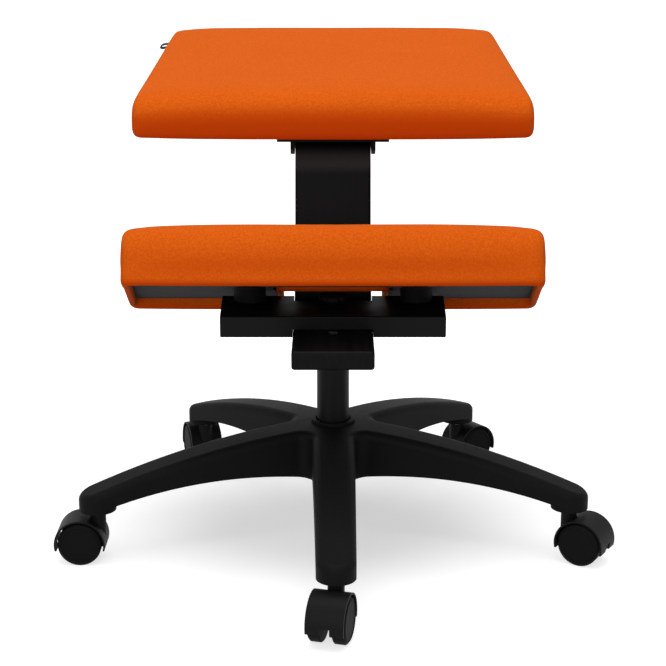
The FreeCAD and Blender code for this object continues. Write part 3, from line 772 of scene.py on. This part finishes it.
def apply_modifier(piece: bpy.types.Object, kind: str, **settings: Any) -> None:
    """Adds a modifier to a piece and makes its result the piece's mesh.

    Args:
        piece: The piece.
        kind: The modifier's type.
        settings: The modifier's settings.
    """
    modifier = piece.modifiers.new(kind.lower(), kind)
    for name, setting in settings.items():
        setattr(modifier, name, setting)
    graph = bpy.context.evaluated_depsgraph_get()
    mesh = bpy.data.meshes.new_from_object(piece.evaluated_get(graph))
    piece.modifiers.clear()
    old = piece.data
    piece.data = mesh
    bpy.data.meshes.remove(old)


def points_of(mesh: bpy.types.Mesh) -> np.ndarray:
    """Reads a mesh's points.

    Args:
        mesh: The mesh.

    Returns:
        One row for each point.
    """
    flat = np.empty(len(mesh.vertices) * 3)
    mesh.vertices.foreach_get("co", flat)
    return flat.reshape(-1, 3)


def normals_of(mesh: bpy.types.Mesh) -> np.ndarray:
    """Reads a mesh's outward normals.

    Args:
        mesh: The mesh.

    Returns:
        One row for each point.
    """
    flat = np.empty(len(mesh.vertices) * 3)
    mesh.vertex_normals.foreach_get("vector", flat)
    return flat.reshape(-1, 3)


def set_points(mesh: bpy.types.Mesh, points: np.ndarray) -> None:
    """Moves the mesh's points."""
    mesh.vertices.foreach_set("co", points.ravel())
    mesh.update()


def smooth_step(shares: np.ndarray) -> np.ndarray:
    """Keeps shares between 0 and 1 and eases them in and out."""
    shares = np.clip(shares, 0.0, 1.0)
    return shares * shares * (3.0 - 2.0 * shares)


def spread_out(mesh: bpy.types.Mesh, values: np.ndarray, rounds: int) -> np.ndarray:
    """Evens out values over a mesh's neighbouring points.

    Args:
        mesh: The mesh.
        values: One value for each point.
        rounds: How often each value moves halfway to its neighbours' mean.

    Returns:
        The evened values.
    """
    ends = np.empty(len(mesh.edges) * 2, dtype=np.int64)
    mesh.edges.foreach_get("vertices", ends)
    first, second = ends.reshape(-1, 2).T
    size = len(values)
    count = np.bincount(ends, minlength=size)
    for _ in range(rounds):
        total = np.bincount(first, values[second], size) + np.bincount(second, values[first], size)
        values = 0.5 * values + 0.5 * total / count
    return values


@dataclass
class SoftPiece:
    """A soft piece that stands for a CAD node; its sizes are in the frame that pose gives."""

    name: str
    node: str
    body: str
    pose: Matrix

    def dress(self, piece: bpy.types.Object, shop: PaintShop, finish: Finish) -> None:
        """Puts a finished mesh in its place, coats it and ties it to its body and node.

        Args:
            piece: The piece, still in its own frame.
            shop: Where its finish comes from.
            finish: The finish.
        """
        piece.data.transform(self.pose)
        shade_smooth(piece.data)
        shop.coat(piece, finish)
        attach(piece, self.body)
        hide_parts(self.node)


@dataclass
class Cushion(SoftPiece):
    """A foam pad in a tight wool cover, swollen by its own filling.

    The cover is held below held_below, at the rim under the board, and free above free_above. Its half width
    at wide_end changes by taper along the pad. The rim's middle hangs by sag, and its front edge, from
    front_rim on, by front_hang.
    """

    held_below: float
    free_above: float
    half_width: float
    sag: float = 0.0
    front_hang: float = 0.0
    front_rim: float = -0.045
    rim_ease: float = 0.075
    taper: float = 0.0
    wide_end: float = 0.0
    soften: int = 5
    settle: int = 4
    voxel: float = 0.0045
    swell: float = 0.0026
    spread: int = 30
    pressure: float = 4.0
    frames: int = 20
    quality: int = 5
    cover_mass: float = 0.25
    stretch: float = 20.0
    shear: float = 8.0
    bending: float = 12.0
    held_share: float = 0.02
    fill: float = 0.9

    def build(self, shop: PaintShop) -> bpy.types.Object:
        """Makes, swells and dresses the cushion.

        Args:
            shop: Where its finish comes from.

        Returns:
            The cushion.
        """
        piece = new_piece(self.name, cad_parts[self.node].data.copy())
        piece.data.transform(self.pose.inverted())
        skin = BVHTree.FromPolygons([vertex.co for vertex in piece.data.vertices],
                                    [tuple(polygon.vertices) for polygon in piece.data.polygons])
        points = points_of(piece.data)
        set_points(piece.data, points * self._widening(points))
        apply_modifier(piece, "REMESH", mode="VOXEL", voxel_size=self.voxel)
        points = points_of(piece.data)
        set_points(piece.data, points / self._widening(points))
        apply_modifier(piece, "SMOOTH", factor=0.5, iterations=self.soften)
        self._inflate(piece)
        apply_modifier(piece, "SMOOTH", factor=0.5, iterations=self.settle)
        self._tighten(piece, skin)
        apply_modifier(piece, "SUBSURF", levels=1, render_levels=1)
        self.dress(piece, shop, Finish.WOOL)
        return piece

    def _widening(self, points: np.ndarray) -> np.ndarray:
        """Stretch that makes the tapered sides parallel, so that the remesh leaves no steps along them.

        Args:
            points: The points in the pad's own frame.

        Returns:
            Three factors for each point.
        """
        half = self.half_width + self.taper * (points[:, 1] - self.wide_end)
        stretch = np.ones_like(points)
        stretch[:, 0] = self.half_width / half
        return stretch

    def _freedom(self, points: np.ndarray) -> np.ndarray:
        """How freely each point may move: 0 at the rim under the board, 1 on the pad's upper part.

        Args:
            points: The points in the pad's own frame.

        Returns:
            One share for each point.
        """
        return smooth_step((points[:, 2] - self.held_below) / (self.free_above - self.held_below))

    def _tighten(self, piece: bpy.types.Object, skin: BVHTree) -> None:
        """Draws the stapled rim back to its line, and lets its middle and its front edge hang a little.

        Args:
            piece: The swollen cushion.
            skin: The cushion's CAD surface.
        """
        points = points_of(piece.data)
        freedom = self._freedom(points)
        for index in np.nonzero(freedom < 1.0)[0]:
            line = np.array(skin.find_nearest(Vector(points[index]))[0])
            points[index] = line + (points[index] - line) * freedom[index]
        middle = np.clip(1.0 - (points[:, 0] / self.half_width) ** 4, 0.0, 1.0)
        front = smooth_step((self.front_rim - points[:, 1]) / self.rim_ease)
        points[:, 2] -= (self.sag * middle + self.front_hang * front) * (1.0 - freedom)
        set_points(piece.data, points)

    def _inflate(self, piece: bpy.types.Object) -> None:
        """Lets the cover swell under pressure, and keeps each point near its start.

        Args:
            piece: The remeshed cushion.
        """
        mesh = piece.data
        start = points_of(mesh)
        outward = normals_of(mesh)
        freedom = self._freedom(start)
        self._add_cloth(piece, np.nonzero(freedom < self.held_share)[0])
        for number in range(1, self.frames + 1):
            bpy.context.scene.frame_set(number)
        graph = bpy.context.evaluated_depsgraph_get()
        move = points_of(piece.evaluated_get(graph).data) - start
        rise = np.sum(move * outward, axis=1)
        LOG.info("%s swelled by up to %.1f mm before the limit", self.name, 1000 * rise.max())
        piece.modifiers.clear()
        piece.vertex_groups.clear()
        rise = spread_out(mesh, np.clip(rise, 0.0, self.swell), self.spread)
        set_points(mesh, start + outward * (rise * freedom)[:, None])
        bpy.context.scene.frame_set(1)

    def _add_cloth(self, piece: bpy.types.Object, rim: np.ndarray) -> None:
        """Makes the piece a cover under pressure.

        Args:
            piece: The remeshed cushion.
            rim: Numbers of the points that are held.
        """
        held = piece.vertex_groups.new(name="held")
        held.add(rim.tolist(), 1.0, "REPLACE")
        cloth = piece.modifiers.new("cover", "CLOTH")
        rules = cloth.settings
        rules.quality = self.quality
        rules.mass = self.cover_mass
        rules.tension_stiffness = self.stretch
        rules.compression_stiffness = self.stretch
        rules.shear_stiffness = self.shear
        rules.bending_stiffness = self.bending
        rules.use_pressure = True
        rules.uniform_pressure_force = self.pressure
        rules.vertex_group_mass = held.name
        rules.effector_weights.gravity = 0.0
        cloth.collision_settings.use_collision = False
        cloth.collision_settings.use_self_collision = False
        cloth.point_cache.frame_start = 1
        cloth.point_cache.frame_end = self.frames


@dataclass
class Lining(SoftPiece):
    """Felt stretched over the underside of a board, a little puckered along its edge."""

    board: str
    front: float
    back: float
    front_half: float
    back_half: float
    notch_half: float = 0.0
    notch_front: float = 0.0
    thickness: float = 0.0014
    lift: float = 0.0002
    pucker: float = 0.0003
    fold_length: float = 0.021
    fold_reach: float = 0.012
    step: float = 0.008
    fewest: int = 8
    slack: float = 1e-6

    def build(self, shop: PaintShop) -> bpy.types.Object:
        """Makes and dresses the lining.

        Args:
            shop: Where its finish comes from.

        Returns:
            The lining.
        """
        mesh, area = self._layer()
        piece = new_piece(self.name, mesh)
        apply_modifier(piece, "SOLIDIFY", thickness=self.thickness, offset=1.0)
        self.dress(piece, shop, Finish.FELT)
        return piece

    def _layer(self) -> tuple[bpy.types.Mesh, float]:
        """Lays the felt out without its thickness.

        Returns:
            The mesh and its area.
        """
        shares, places = self._shares(), self._places()
        sheet = bmesh.new()
        grid = [[sheet.verts.new(self._point(share, place)) for share in shares] for place in places]
        for row in range(len(places) - 1):
            near, far = grid[row], grid[row + 1]
            place = (places[row] + places[row + 1]) / 2
            for column in range(len(shares) - 1):
                if not self._is_open((shares[column] + shares[column + 1]) / 2, place):
                    sheet.faces.new([near[column], far[column], far[column + 1], near[column + 1]])
        loose = [vert for vert in sheet.verts if not vert.link_faces]
        bmesh.ops.delete(sheet, geom=loose, context="VERTS")
        area = sum(face.calc_area() for face in sheet.faces)
        return mesh_of(self.name, sheet), area

    def _half(self, place: float) -> float:
        """Half width at a place along the board."""
        share = (place - self.front) / (self.back - self.front)
        return self.front_half + (self.back_half - self.front_half) * share

    def _shares(self) -> list[float]:
        """Evenly spaced places across the board, from -1 to 1."""
        count = max(self.fewest, round((self.front_half + self.back_half) / self.step))
        return [-1.0 + 2.0 * number / count for number in range(count + 1)]

    def _places(self) -> list[float]:
        """Divides the board's length.

        Returns:
            Places along the board, with one on the notch's front edge.
        """
        length = self.back - self.front
        count = max(self.fewest, round(length / self.step))
        places = [self.front + length * number / count for number in range(count + 1)]
        if self.notch_half:
            nearest = min(range(1, count), key=lambda number: abs(places[number] - self.notch_front))
            places[nearest] = self.notch_front
        return places

    def _point(self, share: float, place: float) -> Triple:
        """Places one point of the sheet, drawn out to the notch's side where it is near it.

        Args:
            share: Its place across the board, from -1 to 1.
            place: Its place along the board.

        Returns:
            The point in the board's frame.
        """
        half = self._half(place)
        x = share * half
        beside_notch = self.notch_half and place >= self.notch_front - self.slack
        if beside_notch and abs(x) > self.notch_half - self.step:
            x = math.copysign(max(abs(x), self.notch_half), x)
        rim = max(0.0, min(half - abs(x), place - self.front, self.back - place))
        fold = math.sin((x + place) * math.tau / self.fold_length) * math.exp(-rim / self.fold_reach)
        return (x, place, self.lift + self.pucker * (0.5 + 0.5 * fold))

    def _is_open(self, share: float, place: float) -> bool:
        """Whether a cell of the sheet lies in the notch."""
        return place > self.notch_front and abs(share) * self._half(place) < self.notch_half - self.slack


@dataclass
class TapeTab(SoftPiece):
    """A bare loop of tape sewn into the seat's left edge."""

    thickness: float = 0.0011
    width: float = 0.009
    half_height: float = 0.0034
    pinch: float = 0.45
    roundness: float = 0.7
    droop: float = 0.0026
    level_reach: float = 0.4
    steps: int = 24

    def build(self, shop: PaintShop) -> bpy.types.Object:
        """Makes and dresses the tab.

        Args:
            shop: Where its finish comes from.

        Returns:
            The tab.
        """
        piece = new_piece(self.name, self._loop())
        apply_modifier(piece, "SOLIDIFY", thickness=self.thickness, offset=0.0)
        self.dress(piece, shop, Finish.TAPE)
        return piece

    def _loop(self) -> bpy.types.Mesh:
        """Bends the tape from one sewn end to the other.

        Returns:
            The loop's mesh, without its thickness.
        """
        low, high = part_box(self.node)
        middle = (low + high) / 2
        inverse = self.pose.inverted()
        near = inverse @ Vector((high.x, middle.y, middle.z))
        far = inverse @ Vector((low.x, middle.y, middle.z))
        sides = [near.y - self.width / 2, near.y, near.y + self.width / 2]
        sheet = bmesh.new()
        rows = []
        for number in range(self.steps + 1):
            turn = math.pi * (number / self.steps - 0.5)
            reach = max(0.0, math.cos(turn)) ** self.roundness
            x = near.x + (far.x - near.x) * reach
            rise = self.half_height * math.sin(turn) * (1.0 - self.pinch + self.pinch * math.cos(turn))
            z = near.z + rise - self.droop * (reach - self.level_reach)
            rows.append([sheet.verts.new((x, y, z)) for y in sides])
        for row, after in zip(rows, rows[1:]):
            for column in range(len(sides) - 1):
                sheet.faces.new([row[column], row[column + 1], after[column + 1], after[column]])
        return mesh_of(self.name, sheet)


@dataclass(frozen=True)
class Lamp:
    """A square soft lamp: where it hangs, the point that it faces, its side and its power in watts."""

    name: str
    place: Triple
    target: Triple
    size: float
    power: float

    def hang(self) -> None:
        """Puts the lamp into the scene."""
        data = bpy.data.lights.new(self.name, "AREA")
        data.shape = "SQUARE"
        data.size = self.size
        data.energy = self.power
        lamp = bpy.data.objects.new(self.name, data)
        lamp.location = self.place
        way = Vector(self.target) - Vector(self.place)
        lamp.rotation_mode = "QUATERNION"
        lamp.rotation_quaternion = way.to_track_quat("-Z", "Y")
        bpy.context.scene.collection.objects.link(lamp)


@dataclass
class Studio:
    """White floor, soft lamps and the camera.

    The floor is seen with a glow of its own: glow_under the chair, and more across the near and far rings,
    so that the lower glow under the chair is a painted shadow on top of the lamps' real one.
    """

    camera_place: Triple = (0.0, -1.887, 0.772)
    camera_drop: float = 15.567
    lens: float = 90.378
    sensor: float = 36.0
    ambient: float = 0.48
    floor_half: float = 30.0
    floor_grey: float = 0.6
    shade_stretch: float = 1.6
    glow_under: float = 0.46
    glow_beside: float = 0.22
    glow_far: float = 0.32
    near_ring: Pair = (0.1, 0.34)
    far_ring: Pair = (0.5, 1.1)
    lamps: tuple[Lamp, ...] = (
        Lamp("lamp_above", (0.0, -0.25, 2.6), (0.0, 0.05, 0.3), 2.2, 39.0),
        Lamp("lamp_front", (-0.7, -2.6, 1.1), (0.0, 0.0, 0.4), 1.6, 21.0),
    )

    def build(self) -> None:
        """Makes the whole studio."""
        self._camera()
        self._floor()
        self._world()
        for lamp in self.lamps:
            lamp.hang()

    def _camera(self) -> None:
        """The camera at the photographed angle."""
        data = bpy.data.cameras.new("camera")
        data.sensor_width = self.sensor
        data.lens = self.lens
        camera = bpy.data.objects.new("camera", data)
        camera.location = self.camera_place
        camera.rotation_euler = (math.radians(90.0 - self.camera_drop), 0.0, 0.0)
        bpy.context.scene.collection.objects.link(camera)
        bpy.context.scene.camera = camera

    def _floor(self) -> None:
        """A pale floor that shows the chair's real shadow, deepened by a painted shadow where its glow is
        lower under the chair.
        """
        half = self.floor_half
        corners = [(-half, -half, 0), (half, -half, 0), (half, half, 0), (-half, half, 0)]
        mesh = bpy.data.meshes.new("floor")
        mesh.from_pydata(corners, [], [(0, 1, 2, 3)])
        bench = Bench("floor_white")
        x, y, _ = bench.place()
        # painted shadow: the glow is lowest in an ellipse under the chair and rises across the near and far
        # rings
        shade_deep = y * self.shade_stretch
        away = (x * x + shade_deep * shade_deep).root()
        glow = (self.glow_under + self.glow_beside * away.ease(*self.near_ring)
                + self.glow_far * away.ease(*self.far_ring))
        grey = (self.floor_grey, self.floor_grey, self.floor_grey)
        bench.surface(Base_Color=grey, Roughness=0.9, Specular_IOR_Level=0.1,
                      Emission_Color=self._seen(bench) * glow, Emission_Strength=1.0)
        mesh.materials.append(bench.material)
        new_piece("floor", mesh)

    @staticmethod
    def _seen(nodes: Nodes) -> Value:
        """Tells the rays that see the white studio from those that light the chair.

        Args:
            nodes: The tree that asks.

        Returns:
            1 for rays of the camera, of gloss and of glass, else 0.
        """
        path = nodes.node("ShaderNodeLightPath")
        names = ("Is Camera Ray", "Is Glossy Ray", "Is Transmission Ray")
        camera, gloss, glass = (Value(nodes, path.outputs[name]) for name in names)
        return camera + gloss + glass

    def _world(self) -> None:
        """Even light from all round, and white where the camera looks past the floor."""
        world = bpy.data.worlds.new("studio")
        world.use_nodes = True
        bpy.context.scene.world = world
        nodes = Nodes(world.node_tree)
        white = (1.0, 1.0, 1.0)
        light = nodes.node("ShaderNodeBackground", {}, {"Color": white, "Strength": self.ambient})
        backdrop = nodes.node("ShaderNodeBackground", {}, {"Color": white, "Strength": 1.0})
        shaders = {0: self._seen(nodes), 1: light.outputs[0], 2: backdrop.outputs[0]}
        mix = nodes.node("ShaderNodeMixShader", {}, shaders)
        nodes.node("ShaderNodeOutputWorld", {}, {"Surface": mix.outputs[0]})


@dataclass
class Frame:
    """The rigid pieces, which keep their CAD shapes and get their finishes."""

    castors: int = 5

    def dress(self, shop: PaintShop) -> None:
        """Coats every rigid node.

        Args:
            shop: Where the finishes come from.
        """
        coats = {
            "five_star_base": Finish.MOULDED, "hub_collar": Finish.MOULDED, "stem_sockets": Finish.STEEL,
            "stand_tube": Finish.PAINT, "guide_bush": Finish.MOULDED, "thrust_bearing": Finish.STEEL,
            "piston_rod": Finish.STEEL, "rod_clip": Finish.STEEL, "piston": Finish.STEEL,
            "pressure_tube": Finish.PAINT, "release_pin": Finish.STEEL, "column_head": Finish.PAINT,
            "head_bolts": Finish.STEEL, "release_lever": Finish.STEEL, "lever_grip": Finish.MOULDED,
            "laminated_arm": Finish.ARM, "seat_bracket": Finish.PAINT, "bracket_screws": Finish.STEEL,
            "seat_spacer": Finish.MOULDED, "seat_screws": Finish.STEEL, "seat_board": Finish.PLY,
            "knee_crossbar": Finish.BOARD, "glide_strips": Finish.NYLON, "spacer_post_left": Finish.MOULDED,
            "spacer_post_right": Finish.MOULDED, "post_screws": Finish.STEEL, "knee_board": Finish.PLY,
            "clamp_nut": Finish.STEEL, "clamp_knob": Finish.MOULDED,
        }
        castor = {"hood": Finish.HOOD, "stem": Finish.STEEL, "axle": Finish.STEEL,
                  "wheel_left": Finish.WHEEL, "wheel_right": Finish.WHEEL}
        for number in range(1, self.castors + 1):
            coats.update({f"castor_{number}_{part}": finish for part, finish in castor.items()})
        shop.coat_nodes(coats)


def main() -> None:
    """Builds the studio and dresses the chair, piece by piece."""
    logging.basicConfig(level=logging.INFO, format="%(message)s")
    bpy.context.scene.view_settings.view_transform = "Standard"
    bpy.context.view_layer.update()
    shop = PaintShop()
    Studio().build()
    Frame().dress(shop)
    seat_frame = tilted(0.07434, 0.45178, 8.0)
    knee_frame = tilted(-0.026, 0.3082, -20.6)
    soft_pieces = (
        Cushion("seat_pad", "seat_cushion", "upper", seat_frame,
                held_below=0.0385, free_above=0.0525, half_width=0.2295, sag=0.0026,
                taper=-0.0584, wide_end=-0.076),
        Cushion("knee_pad", "knee_cushion", "knee", knee_frame,
                held_below=-0.004, free_above=0.016, half_width=0.249, sag=0.001, front_hang=0.0028,
                soften=10, taper=0.0813, wide_end=0.126),
        Lining("seat_underside", "seat_lining", "upper", seat_frame, "seat_board",
               front=-0.067, back=0.266, front_half=0.21997, back_half=0.20052, lift=0.0402),
        Lining("knee_underside", "knee_lining", "knee", knee_frame, "knee_board",
               front=-0.117, back=0.110, front_half=0.22023, back_half=0.2387,
               notch_half=0.065, notch_front=-0.010),
        TapeTab("seat_tag_loop", "seat_tag", "upper", seat_frame),
    )
    for soft in soft_pieces:
        piece = soft.build(shop)
        LOG.info("made %s with %d points", piece.name, len(piece.data.vertices))


if __name__ == "__main__":
    main()
